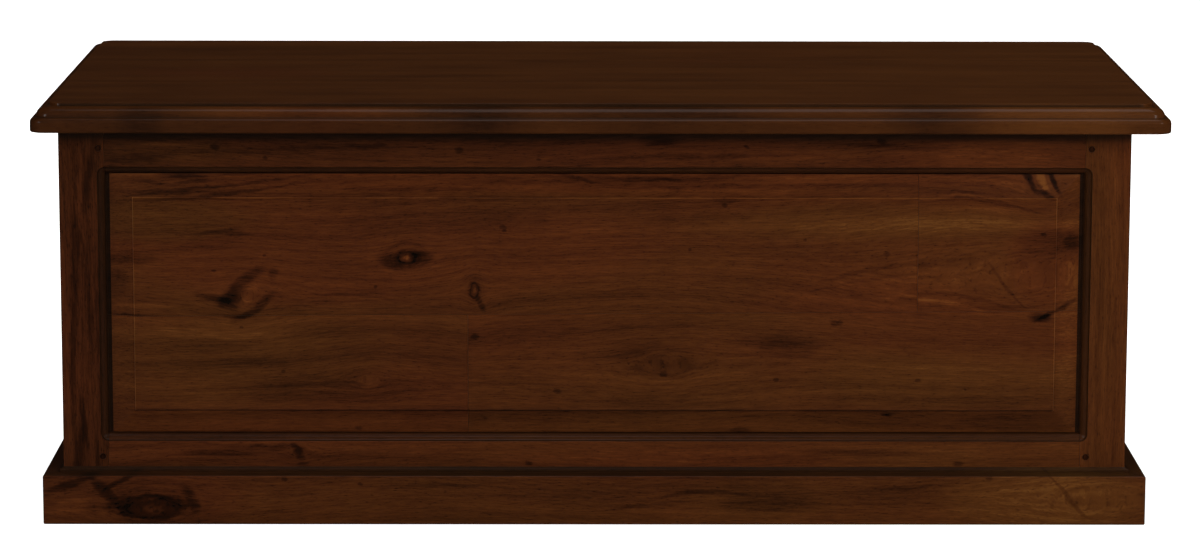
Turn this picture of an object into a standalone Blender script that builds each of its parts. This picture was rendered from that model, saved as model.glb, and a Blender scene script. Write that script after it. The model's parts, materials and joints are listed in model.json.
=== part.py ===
"""A low wooden blanket chest: a joined frame of posts and rails round raised panels, on a
mitred plinth, under a heavy moulded lid that lifts on two butt hinges at the back.

Metres, +Z up. The front faces -Y. Parts are built about the middle of the carcass. They are
then placed with the origin on the floor under the middle of the lid, which sits a little to
the right of the carcass.
"""

import math

import bmesh
import bpy
from mathutils import Matrix, Vector

MM = 0.001
GAP = 0.3 * MM

# Driving dimensions
LID_WIDTH = 1200 * MM
LID_DEPTH = 600 * MM
LID_THICKNESS = 30 * MM
LID_OVERHANG = 33 * MM
LID_SHIFT = 6 * MM
LID_CORNER_RADIUS = 14 * MM
CARCASS_HEIGHT = 422 * MM
POST_SIZE = 48 * MM
RAIL_THICKNESS = 32 * MM
BOTTOM_RAIL_BOTTOM = 30 * MM
PANEL_BOTTOM = 94 * MM
PANEL_TOP = 374.5 * MM
PLINTH_HEIGHT = 53 * MM
PLINTH_PROJECTION = 20.5 * MM

# The moulding routed along the inner edge of each frame, and the panel held behind it
STICKING_WIDTH = 7.5 * MM
STICKING_DEPTH = 13 * MM
STICKING_QUIRK = 1 * MM
STICKING_FILLET = 0.4 * MM
GROOVE_DEPTH = 8.5 * MM
TONGUE_LENGTH = 7.5 * MM
TONGUE_FRONT = 14 * MM
TONGUE_THICKNESS = 7.4 * MM
BEVEL_WIDTH = 24.5 * MM
BEVEL_EDGE_SETBACK = 10.5 * MM
BEVEL_TOP_SETBACK = 4 * MM
FIELD_SETBACK = 2.5 * MM
BEVEL_END_CLEARANCE = 4.5 * MM
BEVEL_LONG_CLEARANCE = 0.7 * MM

# Joinery that the assembled chest hides
TENON_LENGTH = 20 * MM
TENON_THICKNESS = 10 * MM
TENON_SETBACK = 11 * MM
TENON_SHOULDER = 8 * MM
MORTISE_CLEARANCE = 0.3 * MM
PEG_RADIUS = 3.2 * MM
PEG_DEPTH = 8 * MM
PEG_FROM_POST_EDGE = 6 * MM

# Chest floor and lid hardware
FLOOR_TOP = 74 * MM
FLOOR_THICKNESS = 14 * MM
CLEAT_SIZE = 20 * MM
NOTCH_GAP = 1 * MM
FLOOR_BOARDS = 4
BATTEN_WIDTH = 60 * MM
BATTEN_THICKNESS = 18 * MM
BATTEN_LENGTH = 400 * MM
BATTEN_SPACING = 420 * MM
HINGE_SPACING = 760 * MM
HINGE_LENGTH = 70 * MM
KNUCKLE_RADIUS = 4 * MM
PIN_RADIUS = 1.8 * MM
LEAF_THICKNESS = 2 * MM
BODY_LEAF_HEIGHT = 38 * MM
LID_LEAF_DEPTH = 23 * MM

# What follows from them
CARCASS_WIDTH = LID_WIDTH - 2 * LID_OVERHANG
CARCASS_DEPTH = LID_DEPTH - 2 * LID_OVERHANG
LID_UNDERSIDE = CARCASS_HEIGHT + GAP
BACK_FACE = CARCASS_DEPTH / 2
HINGE_Y = BACK_FACE + GAP + KNUCKLE_RADIUS
HINGE_Z = LID_UNDERSIDE - GAP - KNUCKLE_RADIUS
PLACE = Matrix.Translation((-LID_SHIFT, 0, 0))


def clear_scene():
    for obj in list(bpy.data.objects):
        bpy.data.objects.remove(obj, do_unlink=True)


def new_collection(name):
    collection = bpy.data.collections.new(name)
    bpy.context.scene.collection.children.link(collection)
    return collection


def material(name, colour, roughness, metallic=0.0):
    made = bpy.data.materials.new(name)
    made.use_nodes = True
    shader = made.node_tree.nodes["Principled BSDF"]
    shader.inputs["Base Color"].default_value = (*colour, 1.0)
    shader.inputs["Roughness"].default_value = roughness
    shader.inputs["Metallic"].default_value = metallic
    return made


def add_object(name, mesh, collection, finish=None):
    obj = bpy.data.objects.new(name, mesh)
    collection.objects.link(obj)
    if finish is not None:
        mesh.materials.append(finish)
    return obj


def mesh_from(build):
    """A mesh made by filling an empty bmesh with the given function."""
    mesh = bpy.data.meshes.new("shape")
    shape = bmesh.new()
    build(shape)
    bmesh.ops.recalc_face_normals(shape, faces=shape.faces)
    shape.to_mesh(mesh)
    shape.free()
    return mesh


def box_mesh(low, high):
    """A box between two corners."""
    low, high = Vector(low), Vector(high)

    def build(shape):
        bmesh.ops.create_cube(shape, size=1.0)
        bmesh.ops.scale(shape, vec=high - low, verts=shape.verts)
        bmesh.ops.translate(shape, vec=(low + high) / 2, verts=shape.verts)

    return mesh_from(build)


def rounded_rectangle(half_x, half_y, radius, corner_steps):
    """Corner arcs of a rectangle, anticlockwise from the +X side."""
    points = []
    for corner, (sign_x, sign_y) in enumerate(((1, 1), (-1, 1), (-1, -1), (1, -1))):
        for step in range(corner_steps + 1):
            angle = math.pi / 2 * (corner + step / corner_steps)
            points.append(
                (
                    sign_x * (half_x - radius) + radius * math.cos(angle),
                    sign_y * (half_y - radius) + radius * math.sin(angle),
                )
            )
    return points


def loft_mesh(sections, hollow=False):
    """Skin a stack of rings of equal point count, with end caps or, if hollow, back to the start."""

    def build(shape):
        rings = [[shape.verts.new(point) for point in section] for section in sections]
        following = rings[1:] + rings[:1] if hollow else rings[1:]
        for lower, upper in zip(rings, following):
            for index in range(len(lower)):
                after = (index + 1) % len(lower)
                shape.faces.new((lower[index], lower[after], upper[after], upper[index]))
        if not hollow:
            shape.faces.new(rings[0])
            shape.faces.new(rings[-1])

    return mesh_from(build)


def quarter(centre, radii, start_degrees, steps):
    """Points of a quarter ellipse that starts at the given angle and turns anticlockwise."""
    points = []
    for step in range(steps + 1):
        angle = math.radians(start_degrees + 90 * step / steps)
        points.append((centre[0] + radii[0] * math.cos(angle), centre[1] + radii[1] * math.sin(angle)))
    return points


def boolean(obj, cutter, operation="DIFFERENCE"):
    modifier = obj.modifiers.new(cutter.name, "BOOLEAN")
    modifier.operation = operation
    modifier.solver = "EXACT"
    modifier.object = cutter


def helper(name, mesh, matrix=Matrix()):
    """A cutter or a block to join: it shapes a part and isn't one."""
    obj = add_object(name, mesh, CUTTERS)
    obj.hide_render = True
    obj.display_type = "WIRE"
    obj.matrix_world = PLACE @ matrix
    return obj


def part(name, mesh, finish, matrix=Matrix()):
    obj = add_object(name, mesh, CHEST, finish)
    obj.matrix_world = PLACE @ matrix
    return obj


class Frame:
    """One face of the carcass. Local x runs along it, z is up, and its outer face is y = 0."""

    def __init__(self, name, width, setback, turn_degrees):
        self.name = name
        self.half_width = width / 2
        self.half_opening = self.half_width - POST_SIZE
        self.matrix = Matrix.Rotation(math.radians(turn_degrees), 4, "Z") @ Matrix.Translation(
            (0, -setback, 0)
        )


def upright_ring(half_x, low_z, high_z, radius, setback, corner_steps):
    """A rounded rectangle standing in a frame, at a given depth behind its outer face."""
    middle = (low_z + high_z) / 2
    outline = rounded_rectangle(half_x, (high_z - low_z) / 2, radius, corner_steps)
    return [(x, setback, middle + z) for x, z in outline]


def sticking_profile():
    """(distance in from the moulding's outer line, depth): an ovolo, a fillet and a cove."""
    outside = -1 * MM
    ovolo = (4.5 * MM, 4 * MM)
    cove_start = ovolo[0] + STICKING_FILLET
    cove = (STICKING_WIDTH - cove_start, 6.4 * MM)
    points = [(0, outside), (0, STICKING_QUIRK)]
    points += [(ovolo[0] - x, STICKING_QUIRK + z) for x, z in quarter((0, 0), ovolo, 0, 4)]
    points += [(cove_start + x, STICKING_DEPTH - z) for x, z in quarter((0, 0), cove, 0, 4)[::-1]]
    return points


def sticking_cutter(frame):
    """The waste that the router takes from the frame's inner edge, round its corners."""
    sections = []
    for inset, depth in sticking_profile():
        grow = STICKING_WIDTH - inset
        sections.append(
            upright_ring(
                frame.half_opening + grow,
                PANEL_BOTTOM - grow,
                PANEL_TOP + grow,
                grow + 0.2 * MM,
                depth,
                corner_steps=5,
            )
        )
    return helper(f"{frame.name}_sticking", loft_mesh(sections), frame.matrix)


def groove_cutter(frame):
    """The groove that holds the panel's tongue, in all four members at once."""
    low = (
        -frame.half_opening - GROOVE_DEPTH,
        TONGUE_FRONT - GAP,
        PANEL_BOTTOM - GROOVE_DEPTH,
    )
    high = (
        frame.half_opening + GROOVE_DEPTH,
        TONGUE_FRONT + TONGUE_THICKNESS + GAP,
        PANEL_TOP + GROOVE_DEPTH,
    )
    return helper(f"{frame.name}_groove", box_mesh(low, high), frame.matrix)


def rail_heights():
    return {"top": (PANEL_TOP, CARCASS_HEIGHT), "bottom": (BOTTOM_RAIL_BOTTOM, PANEL_BOTTOM)}


def tenon_span(level):
    """Lowest and highest z of the tenons, kept clear of the panel groove and the rail's outer edge."""
    low, high = rail_heights()[level]
    clear_of_groove = GROOVE_DEPTH + 3 * MM
    if level == "top":
        return low + clear_of_groove, high - TENON_SHOULDER
    return low + TENON_SHOULDER, high - clear_of_groove


def make_rails(frame, finish, cutters):
    for level, (low_z, high_z) in rail_heights().items():
        half = frame.half_opening - GAP
        mesh = box_mesh((-half, 0, low_z), (half, RAIL_THICKNESS, high_z))
        rail = part(f"{frame.name}_{level}_rail", mesh, finish, frame.matrix)
        tenon_low, tenon_high = tenon_span(level)
        reach = frame.half_opening + TENON_LENGTH - MORTISE_CLEARANCE
        tenon = box_mesh(
            (-reach, TENON_SETBACK, tenon_low),
            (reach, TENON_SETBACK + TENON_THICKNESS, tenon_high),
        )
        boolean(rail, helper(f"{rail.name}_tenons", tenon, frame.matrix), "UNION")
        for cutter in cutters:
            boolean(rail, cutter)


def mortise_cutters(frame):
    """Sockets in the posts for the tenons of both rails, one box through to each pair of posts."""
    made = []
    for level in ("top", "bottom"):
        low_z, high_z = tenon_span(level)
        low = Vector((-frame.half_opening - TENON_LENGTH, TENON_SETBACK, low_z))
        high = Vector((frame.half_opening + TENON_LENGTH, TENON_SETBACK + TENON_THICKNESS, high_z))
        spare = Vector((0, MORTISE_CLEARANCE, MORTISE_CLEARANCE))
        mesh = box_mesh(low - spare, high + spare)
        made.append(helper(f"{frame.name}_{level}_mortises", mesh, frame.matrix))
    return made


def panel_mesh(frame):
    """The whole raised panel: tongue, bevelled margin, small step, flat field."""
    tongue_back = TONGUE_FRONT + TONGUE_THICKNESS
    tongue = TONGUE_LENGTH
    end = -BEVEL_END_CLEARANCE
    long_edge = -BEVEL_LONG_CLEARANCE
    steps = (
        (tongue, tongue, tongue_back),
        (tongue, tongue, TONGUE_FRONT),
        (end, long_edge, TONGUE_FRONT),
        (end, long_edge, BEVEL_EDGE_SETBACK),
        (end - BEVEL_WIDTH, long_edge - BEVEL_WIDTH, BEVEL_TOP_SETBACK),
        (end - BEVEL_WIDTH - 0.4 * MM, long_edge - BEVEL_WIDTH - 0.4 * MM, FIELD_SETBACK),
    )
    sections = []
    for grow_x, grow_z, setback in steps:
        half_x = frame.half_opening + grow_x
        low_z = PANEL_BOTTOM - grow_z
        high_z = PANEL_TOP + grow_z
        sections.append(
            [
                (half_x, setback, low_z),
                (half_x, setback, high_z),
                (-half_x, setback, high_z),
                (-half_x, setback, low_z),
            ]
        )
    return loft_mesh(sections)


def board_block(name, frame, left, right, low_ends, high_ends):
    """A prism that keeps one board of a panel. Its long edges may slope from left to right."""
    front = -5 * MM
    back = RAIL_THICKNESS
    outline = [(left, low_ends[0]), (right, low_ends[1]), (right, high_ends[1]), (left, high_ends[0])]
    sections = [[(x, depth, z) for x, z in outline] for depth in (front, back)]
    return helper(name, loft_mesh(sections), frame.matrix)


def make_panel(frame, finish, seam_left, seam_right, upper_joint=None, lower_joint=None):
    """Edge-glued boards cut from one raised panel. Each row may be pieced end to end once."""
    reach = frame.half_opening + POST_SIZE
    bottom = PANEL_BOTTOM - POST_SIZE
    top = PANEL_TOP + POST_SIZE
    mesh = panel_mesh(frame)

    def seam_at(x):
        return seam_left + (seam_right - seam_left) * (x + reach) / (2 * reach)

    for row, joint in (("upper", upper_joint), ("lower", lower_joint)):
        ends = [-reach, reach] if joint is None else [-reach, joint, reach]
        sides = [""] if joint is None else ["_left", "_right"]
        for side, left, right in zip(sides, ends[:-1], ends[1:]):
            left_edge = left + GAP / 2
            right_edge = right - GAP / 2
            seam = (seam_at(left_edge), seam_at(right_edge))
            if row == "upper":
                low_ends = [z + GAP / 2 for z in seam]
                high_ends = (top, top)
            else:
                low_ends = (bottom, bottom)
                high_ends = [z - GAP / 2 for z in seam]
            name = f"{frame.name}_panel_{row}{side}"
            board = part(name, mesh.copy(), finish, frame.matrix)
            block = board_block(f"{name}_block", frame, left_edge, right_edge, low_ends, high_ends)
            boolean(board, block, "INTERSECT")


def make_posts(frames, finish, cutters):
    x = CARCASS_WIDTH / 2
    y = CARCASS_DEPTH / 2
    for side_y, sign_y in (("front", -1), ("back", 1)):
        for side_x, sign_x in (("left", -1), ("right", 1)):
            corner = Vector((sign_x * x, sign_y * y, 0))
            inner = Vector((sign_x * (x - POST_SIZE), sign_y * (y - POST_SIZE), CARCASS_HEIGHT))
            low = [min(a, b) for a, b in zip(corner, inner)]
            high = [max(a, b) for a, b in zip(corner, inner)]
            post = part(f"{side_y}_{side_x}_post", box_mesh(low, high), finish)
            for cutter in cutters[side_y] + cutters[side_x]:
                boolean(post, cutter)


def make_pegs(frame, finish):
    """Dowels that pin the tenons, one at each end of each rail, midway up what shows of the rail."""
    heights = {
        "top": (PANEL_TOP + STICKING_WIDTH + CARCASS_HEIGHT) / 2,
        "bottom": (PLINTH_HEIGHT + PANEL_BOTTOM - STICKING_WIDTH) / 2,
    }
    sockets = []
    for level, z in heights.items():
        for side, sign in (("left", -1), ("right", 1)):
            x = sign * (frame.half_opening + PEG_FROM_POST_EDGE)
            middle = frame.matrix @ Matrix.Translation((x, PEG_DEPTH / 2, z))
            peg = part(
                f"{frame.name}_{level}_peg_{side}",
                cylinder_mesh(PEG_RADIUS, PEG_DEPTH, "Y"),
                finish,
                middle,
            )
            socket = cylinder_mesh(PEG_RADIUS + GAP, PEG_DEPTH + 2 * GAP, "Y")
            sockets.append(helper(f"{peg.name}_socket", socket, middle))
    return sockets


def plinth_profile():
    """(distance out from the carcass face, height) round the plinth's section."""
    out = PLINTH_PROJECTION
    soften = 1 * MM
    step_out = 4.5 * MM
    step_height = 4.5 * MM
    return [
        (GAP, 0),
        (out - soften, 0),
        (out, soften),
        (out, PLINTH_HEIGHT - soften),
        (out - soften, PLINTH_HEIGHT),
        (step_out, PLINTH_HEIGHT + 0.5 * MM),
        (step_out, PLINTH_HEIGHT + step_height - soften),
        (step_out - soften, PLINTH_HEIGHT + step_height),
        (2 * MM, PLINTH_HEIGHT + step_height),
        (GAP, PLINTH_HEIGHT + step_height + 1.5 * MM),
    ]


def make_plinth(finish):
    half_x = CARCASS_WIDTH / 2
    half_y = CARCASS_DEPTH / 2
    sections = []
    for out, z in plinth_profile():
        x, y = half_x + out, half_y + out
        sections.append([(x, -y, z), (x, y, z), (-x, y, z), (-x, -y, z)])
    ring = loft_mesh(sections, hollow=True)
    reach = 2 * PLINTH_PROJECTION
    long_side = half_x - half_y
    for name, turn, mitre_from in (
        ("front", 0, half_x),
        ("right", 90, half_y),
        ("back", 180, half_x),
        ("left", 270, half_y),
    ):
        setback = half_y if turn % 180 == 0 else half_x
        inner = mitre_from - reach
        outer = mitre_from + reach
        low_y, high_y = -setback - reach, -setback + reach
        outline = [
            (-outer + GAP, low_y),
            (outer - GAP, low_y),
            (inner - GAP, high_y),
            (-inner + GAP, high_y),
        ]
        sections = [[(x, y, z) for x, y in outline] for z in (-10 * MM, 2 * PLINTH_HEIGHT)]
        matrix = Matrix.Rotation(math.radians(turn), 4, "Z")
        block = helper(f"plinth_{name}_mitres", loft_mesh(sections), matrix)
        board = part(f"plinth_{name}", ring.copy(), finish)
        boolean(board, block, "INTERSECT")


def floor_reach(clear_of):
    """How far a floor part reaches from the middle, in x and y, to stop at rails or posts."""
    gap = GAP if clear_of == RAIL_THICKNESS else NOTCH_GAP
    return CARCASS_WIDTH / 2 - clear_of - gap, CARCASS_DEPTH / 2 - clear_of - gap


def make_floor_boards(finish):
    """Boards laid lengthwise. The outer two are notched round the posts."""
    half_x, half_y = floor_reach(RAIL_THICKNESS)
    post_x, post_y = floor_reach(POST_SIZE)
    low_z = FLOOR_TOP - FLOOR_THICKNESS
    notches = []
    for sign_x in (-1, 1):
        for sign_y in (-1, 1):
            corners = [(sign_x * post_x, sign_y * post_y), (sign_x * half_x * 2, sign_y * half_y * 2)]
            low = (min(c[0] for c in corners), min(c[1] for c in corners), 0)
            high = (max(c[0] for c in corners), max(c[1] for c in corners), CARCASS_HEIGHT)
            notches.append(helper("floor_notch", box_mesh(low, high)))
    board_width = 2 * half_y / FLOOR_BOARDS
    for index in range(FLOOR_BOARDS):
        low_y = -half_y + index * board_width + GAP
        high_y = low_y + board_width - 2 * GAP
        mesh = box_mesh((-half_x, low_y, low_z), (half_x, high_y, FLOOR_TOP))
        board = part(f"floor_board_{index + 1}", mesh, finish)
        if index in (0, FLOOR_BOARDS - 1):
            for notch in notches:
                boolean(board, notch)


def make_floor_cleats(finish):
    """Strips fixed to the rails, and one bearer across the middle, that the boards lie on."""
    half_x, half_y = floor_reach(RAIL_THICKNESS)
    post_x = floor_reach(POST_SIZE)[0]
    high_z = FLOOR_TOP - FLOOR_THICKNESS - GAP
    cleat_z = high_z - CLEAT_SIZE
    for name, sign in (("front", -1), ("back", 1)):
        edges = sorted((sign * half_y, sign * (half_y - CLEAT_SIZE)))
        mesh = box_mesh((-post_x, edges[0], cleat_z), (post_x, edges[1], high_z))
        part(f"floor_cleat_{name}", mesh, finish)
    between = half_y - CLEAT_SIZE - GAP
    for name, sign in (("left", -1), ("right", 1)):
        edges = sorted((sign * half_x, sign * (half_x - CLEAT_SIZE)))
        mesh = box_mesh((edges[0], -between, cleat_z), (edges[1], between, high_z))
        part(f"floor_cleat_{name}", mesh, finish)
    mesh = box_mesh((-CLEAT_SIZE, -between, cleat_z), (CLEAT_SIZE, between, high_z))
    part("floor_bearer", mesh, finish)


def lid_profile():
    """(distance in from the lid's edge, height above its underside), bottom to top.

    A thumb-shaped nose, an ovolo above it and a small upright quirk under the flat top.
    """
    top = LID_THICKNESS
    soften = 2 * MM
    nose = (5 * MM, 5.5 * MM)
    nose_top = 15.8 * MM
    ovolo = (10.6 * MM, 10.6 * MM)
    ovolo_foot = (nose[0] + 0.8 * MM, nose_top + 0.3 * MM)
    quirk_inset = 18.6 * MM
    points = [(soften - x, soften + z) for x, z in quarter((0, 0), (soften, soften), 270, 3)]
    points += [(nose[0] - x, nose_top - nose[1] + z) for x, z in quarter((0, 0), nose, 0, 6)]
    points += [
        (ovolo_foot[0] + ovolo[0] - x, ovolo_foot[1] + z) for x, z in quarter((0, 0), ovolo, 0, 9)
    ]
    points += [
        (quirk_inset, ovolo_foot[1] + ovolo[1] + 0.1 * MM),
        (quirk_inset + 0.4 * MM, top - 0.4 * MM),
        (quirk_inset + 0.9 * MM, top),
    ]
    return points


def make_lid(finish):
    """Three boards glued edge to edge, with the moulding run round all of them."""
    sections = []
    for inset, height in lid_profile():
        outline = rounded_rectangle(
            LID_WIDTH / 2 - inset, LID_DEPTH / 2 - inset, LID_CORNER_RADIUS, 7
        )
        sections.append([(LID_SHIFT + x, y, LID_UNDERSIDE + height) for x, y in outline])
    mesh = loft_mesh(sections)
    seam = LID_DEPTH / 6
    beyond = LID_DEPTH
    spans = {
        "front": (-beyond, -seam - GAP / 2),
        "middle": (-seam + GAP / 2, seam - GAP / 2),
        "back": (seam + GAP / 2, beyond),
    }
    for name, (low_y, high_y) in spans.items():
        low = (-LID_WIDTH, low_y, 0)
        high = (LID_WIDTH, high_y, 2 * LID_UNDERSIDE)
        board = part(f"lid_board_{name}", mesh.copy(), finish)
        boolean(board, helper(f"lid_{name}_block", box_mesh(low, high)), "INTERSECT")
        ride_lid(board)


def make_battens(finish):
    high_z = LID_UNDERSIDE - GAP
    low_z = high_z - BATTEN_THICKNESS
    for name, place in (("left", -1), ("middle", 0), ("right", 1)):
        x = LID_SHIFT + place * BATTEN_SPACING
        low = (x - BATTEN_WIDTH / 2, -BATTEN_LENGTH / 2, low_z)
        high = (x + BATTEN_WIDTH / 2, BATTEN_LENGTH / 2, high_z)
        batten = part(f"lid_batten_{name}", box_mesh(low, high), finish)
        modifier = batten.modifiers.new("eased edges", "BEVEL")
        modifier.width = 3 * MM
        modifier.segments = 2
        ride_lid(batten)


def cylinder_mesh(radius, length, axis, segments=24):
    """A cylinder along the x or y axis, centred on the origin."""
    turn = Matrix.Rotation(math.pi / 2, 3, "Y" if axis == "X" else "X")

    def build(shape):
        bmesh.ops.create_cone(
            shape,
            cap_ends=True,
            segments=segments,
            radius1=radius,
            radius2=radius,
            depth=length,
        )
        bmesh.ops.rotate(shape, matrix=turn, verts=shape.verts)

    mesh = mesh_from(build)
    mesh.shade_smooth()
    mesh.set_sharp_from_angle(angle=math.radians(40))
    return mesh


def make_hinge(side, sign, finish):
    """Two leaves whose knuckles interlock on a pin: two knuckles on the carcass leaf, one on the lid's."""
    axis = Matrix.Translation((sign * HINGE_SPACING / 2, HINGE_Y, HINGE_Z))
    third = HINGE_LENGTH / 3
    bore = helper(
        f"hinge_{side}_bore",
        cylinder_mesh(PIN_RADIUS + GAP, HINGE_LENGTH + 10 * MM, "X"),
        axis,
    )
    half = HINGE_LENGTH / 2
    # A plate set level with the knuckle would only touch it along a line, so it sits a little inside.
    outer = KNUCKLE_RADIUS - 0.1 * MM
    inner = outer - LEAF_THICKNESS
    body_plate = box_mesh((-half, -outer, -BODY_LEAF_HEIGHT), (half, -inner, 0))
    lid_plate = box_mesh((-half, 0, inner), (half, LID_LEAF_DEPTH, outer))
    spans = {
        "body": [(-half, -half + third), (half - third, half)],
        "lid": [(-half + third + GAP, half - third - GAP)],
    }
    clear = KNUCKLE_RADIUS + 2 * GAP
    for owner, plate in (("body", body_plate), ("lid", lid_plate)):
        leaf = part(f"hinge_{side}_{owner}_leaf", plate, finish, axis)
        other = "lid" if owner == "body" else "body"
        for index, (start, end) in enumerate(spans[other]):
            low = (start - GAP, -clear, -clear)
            high = (end + GAP, clear, clear)
            boolean(leaf, helper(f"{leaf.name}_clearance_{index}", box_mesh(low, high), axis))
        for index, (start, end) in enumerate(spans[owner]):
            place = axis @ Matrix.Translation(((start + end) / 2, 0, 0))
            knuckle = cylinder_mesh(KNUCKLE_RADIUS, end - start, "X")
            boolean(leaf, helper(f"{leaf.name}_knuckle_{index}", knuckle, place), "UNION")
        boolean(leaf, bore)
        if owner == "lid":
            ride_lid(leaf)
    part(f"hinge_{side}_pin", cylinder_mesh(PIN_RADIUS, HINGE_LENGTH, "X"), finish, axis)


def make_lid_pivot():
    """An empty on the hinge line. Everything that lifts with the lid hangs from it."""
    pivot = bpy.data.objects.new("lid_hinge_axis", None)
    pivot.location = (0, HINGE_Y, HINGE_Z)
    CHEST.objects.link(pivot)
    bpy.context.view_layer.update()
    return pivot


def ride_lid(obj):
    obj.parent = LID_PIVOT
    obj.matrix_parent_inverse = LID_PIVOT.matrix_world.inverted()


clear_scene()
CHEST = new_collection("wooden_chest")
CUTTERS = new_collection("cutters")
LID_PIVOT = make_lid_pivot()

frame_wood = material("stained frame wood", (0.060, 0.018, 0.008), 0.32)
panel_wood = material("stained panel wood", (0.065, 0.019, 0.008), 0.30)
plinth_wood = material("stained plinth wood", (0.055, 0.017, 0.007), 0.34)
lid_wood = material("stained lid wood", (0.040, 0.014, 0.006), 0.26)
peg_wood = material("dark peg wood", (0.020, 0.008, 0.005), 0.5)
floor_wood = material("bare floor wood", (0.180, 0.095, 0.045), 0.7)
hinge_brass = material("aged brass", (0.300, 0.200, 0.080), 0.45, 1.0)

frames = [
    Frame("front", CARCASS_WIDTH, CARCASS_DEPTH / 2, 0),
    Frame("right", CARCASS_DEPTH, CARCASS_WIDTH / 2, 90),
    Frame("back", CARCASS_WIDTH, CARCASS_DEPTH / 2, 180),
    Frame("left", CARCASS_DEPTH, CARCASS_WIDTH / 2, 270),
]
# The front panel's seam climbs a little, and both of its rows are pieced end to end.
FRONT_SEAM = (221 * MM, 228 * MM)
FRONT_JOINTS = {"upper": 343 * MM, "lower": -135 * MM}
PLAIN_SEAM = (PANEL_BOTTOM + PANEL_TOP) / 2

post_cutters = {}
for frame in frames:
    shared = [sticking_cutter(frame), groove_cutter(frame)]
    make_rails(frame, frame_wood, shared)
    if frame.name == "front":
        make_panel(frame, panel_wood, *FRONT_SEAM, FRONT_JOINTS["upper"], FRONT_JOINTS["lower"])
    else:
        make_panel(frame, panel_wood, PLAIN_SEAM, PLAIN_SEAM)
    sockets = make_pegs(frame, peg_wood) if frame.name in ("front", "back") else []
    post_cutters[frame.name] = shared + mortise_cutters(frame) + sockets

make_posts(frames, frame_wood, post_cutters)
make_plinth(plinth_wood)
make_floor_boards(floor_wood)
make_floor_cleats(floor_wood)
make_lid(lid_wood)
make_battens(lid_wood)
for side, sign in (("left", -1), ("right", 1)):
    make_hinge(side, sign, hinge_brass)
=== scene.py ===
# %% [markdown]
# # A polished wooden blanket chest
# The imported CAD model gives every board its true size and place. This script never moves a
# board. It eases the sharp edges, gives each board its own grain, adds the screws, and lights
# the chest as in a small studio.

# %% Load the chest
import json
import math

import bmesh
import bpy
from mathutils import Matrix, Vector


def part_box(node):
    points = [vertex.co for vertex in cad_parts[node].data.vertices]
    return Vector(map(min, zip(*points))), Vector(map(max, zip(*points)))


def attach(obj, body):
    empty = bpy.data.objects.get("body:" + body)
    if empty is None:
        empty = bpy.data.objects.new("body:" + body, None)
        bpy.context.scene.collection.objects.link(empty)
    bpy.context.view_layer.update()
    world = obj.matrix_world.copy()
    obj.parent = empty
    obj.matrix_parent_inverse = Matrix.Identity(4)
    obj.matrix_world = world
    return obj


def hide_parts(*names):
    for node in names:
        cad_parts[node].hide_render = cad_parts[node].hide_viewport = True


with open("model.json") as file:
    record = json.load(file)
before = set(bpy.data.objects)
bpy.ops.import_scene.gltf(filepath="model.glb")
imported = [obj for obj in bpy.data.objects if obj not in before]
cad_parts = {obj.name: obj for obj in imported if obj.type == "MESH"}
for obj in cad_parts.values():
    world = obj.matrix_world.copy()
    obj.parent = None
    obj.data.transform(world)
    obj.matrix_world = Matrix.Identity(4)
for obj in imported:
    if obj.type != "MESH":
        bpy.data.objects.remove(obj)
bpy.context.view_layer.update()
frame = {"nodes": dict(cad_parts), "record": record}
MM = 0.001
BOXES = {name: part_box(name) for name in frame["nodes"]}
BODY_OF = {
    name: body
    for body, names in frame["record"]["behaviour"]["bodies"].items()
    for name in names
}
SLOT_OF = {row["node"]: row["material_slot"] for row in frame["record"]["subparts"]}


def add_piece(name, data):
    """A new object, put into the scene."""
    piece = bpy.data.objects.new(name, data)
    bpy.context.scene.collection.objects.link(piece)
    return piece


def new_finish(name):
    """A new material, and the shader in it."""
    finish = bpy.data.materials.new(name)
    finish.use_nodes = True
    return finish, finish.node_tree.nodes["Principled BSDF"]


# %% [markdown]
# ## Sums on shader sockets
# A wood finish is mostly arithmetic on positions: how far a point lies along a board, how near
# it is to a knot, how deep it sits in a moulding. Written as nodes, that arithmetic is hard to
# read. So one small class wraps a socket. A sum on two of them adds the Math node that works
# it out, and one method adds any other kind of node.


# %% A wire that can be added, scaled and compared
# the Object output of a Texture Coordinate node
OBJECT_POINT = 3


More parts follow.
